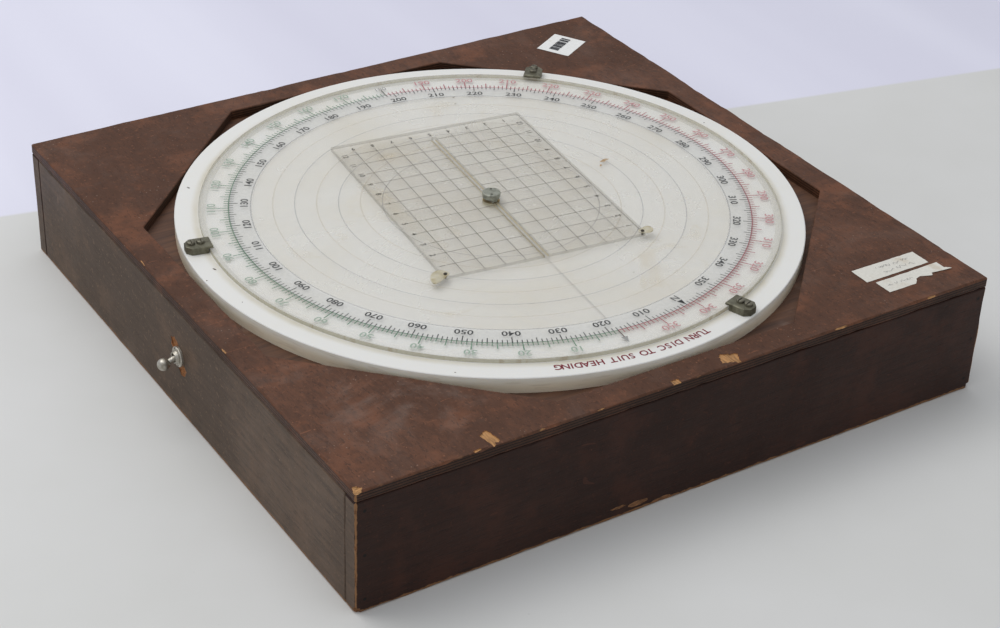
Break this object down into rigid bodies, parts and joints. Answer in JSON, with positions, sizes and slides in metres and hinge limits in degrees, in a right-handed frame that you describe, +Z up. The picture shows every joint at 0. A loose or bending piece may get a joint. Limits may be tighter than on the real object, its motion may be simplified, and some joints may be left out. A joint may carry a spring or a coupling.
{
  "type": "radar plotting board",
  "caption": "Square wooden light box with a turning round dial, a matt plotting disc under keeper clips, a clear squared cursor plate on a centre pivot and a side toggle switch.",
  "frame": {"origin": "middle of the underside, on the surface the box stands on", "axes": "+Z up, +Y towards the far side where the heading is read, +X towards the side with the toggle switch"},
  "size_m": [0.4213, 0.4064, 0.0854],
  "materials": {
    "stained_plywood": "dark mahogany stain, worn satin varnish",
    "shelf_plywood": "stained plywood, matt",
    "raw_wood": "bare softwood",
    "steel": "dull, slightly rusted",
    "rubber": "matt",
    "bakelite": "moulded, semi-gloss",
    "brass": "tarnished",
    "lamp_glass": "frosted",
    "wire_insulation": "matt",
    "nickel": "worn nickel plate",
    "opal_acrylic": "satin opal white",
    "olive_brass": "dark olive tarnish",
    "matt_acrylic": "ground matt, translucent",
    "clear_acrylic": "clear, slightly yellowed",
    "celluloid": "yellowed",
    "dark_pin": "blackened",
    "grey_metal": "grey-green oxide",
    "paper": "aged paper"
  },
  "bodies": {
    "case": {"top_panel": "stained_plywood", "front_board": "stained_plywood", "rear_board": "stained_plywood", "left_board": "stained_plywood", "right_board": "stained_plywood", "recess_shelf": "shelf_plywood", "bottom_panel": "raw_wood", "corner_blocks": "raw_wood", "bottom_battens": "raw_wood", "shelf_battens": "raw_wood", "corner_nails": "steel", "bottom_screws": "steel", "holder_screws": "steel", "inlet_grommet": "rubber", "lamp_holder_left": "bakelite", "lamp_holder_right": "bakelite", "terminal_block": "bakelite", "switch_body": "bakelite", "lamp_socket_left": "brass", "lamp_socket_right": "brass", "bulb_cap_left": "brass", "bulb_cap_right": "brass", "terminal_screws": "brass", "switch_terminals": "brass", "bulb_glass_left": "lamp_glass", "bulb_glass_right": "lamp_glass", "supply_wire": "wire_insulation", "switched_wire": "wire_insulation", "link_wire": "wire_insulation", "return_wire": "wire_insulation", "switch_bushing": "nickel", "switch_ring_nut": "nickel", "switch_back_nut": "nickel", "switch_pivot_pin": "nickel", "label_strip_far": "paper", "label_strip_near": "paper", "paper_sticker": "paper"},
    "dial_base": {"base_disc": "opal_acrylic", "pivot_stud": "brass", "stud_screws": "brass", "clip_right": "olive_brass", "clip_left": "olive_brass", "clip_top": "olive_brass", "clip_screws": "olive_brass"},
    "plotting_dial": {"plotting_disc": "matt_acrylic"},
    "cursor_slider": {"tongued_washer": "grey_metal"},
    "cursor": {"cursor_plate": "clear_acrylic", "tab_right": "celluloid", "tab_left": "celluloid", "tab_pins": "dark_pin"},
    "clamp": {"clamp_screw": "grey_metal"},
    "toggle": {"switch_lever": "nickel"}
  },
  "joints": [
    {"name": "dial_turn", "type": "hinge", "parent": "case", "child": "dial_base", "pos_m": [0, 0, 0], "axis": [0, 0, 1], "continuous": true},
    {"name": "plotting_disc_turn", "type": "hinge", "parent": "dial_base", "child": "plotting_dial", "pos_m": [0, 0, 0], "axis": [0, 0, 1], "continuous": true},
    {"name": "cursor_turn", "type": "hinge", "parent": "dial_base", "child": "cursor_slider", "pos_m": [0, 0, 0], "axis": [0, 0, 1], "continuous": true},
    {"name": "cursor_slide", "type": "slide", "parent": "cursor_slider", "child": "cursor", "axis": [0.1097, 0.994, 0], "range_m": [-0.06, 0.07]},
    {"name": "clamp_screw_turn", "type": "hinge", "parent": "dial_base", "child": "clamp", "pos_m": [0, 0, 0], "axis": [0, 0, 1], "range_deg": [0, 180]},
    {"name": "switch_toggle", "type": "hinge", "parent": "case", "child": "toggle", "pos_m": [0.204, 0.0048, 0.0385], "axis": [0, -1, 0], "range_deg": [0, 30]}
  ]
}
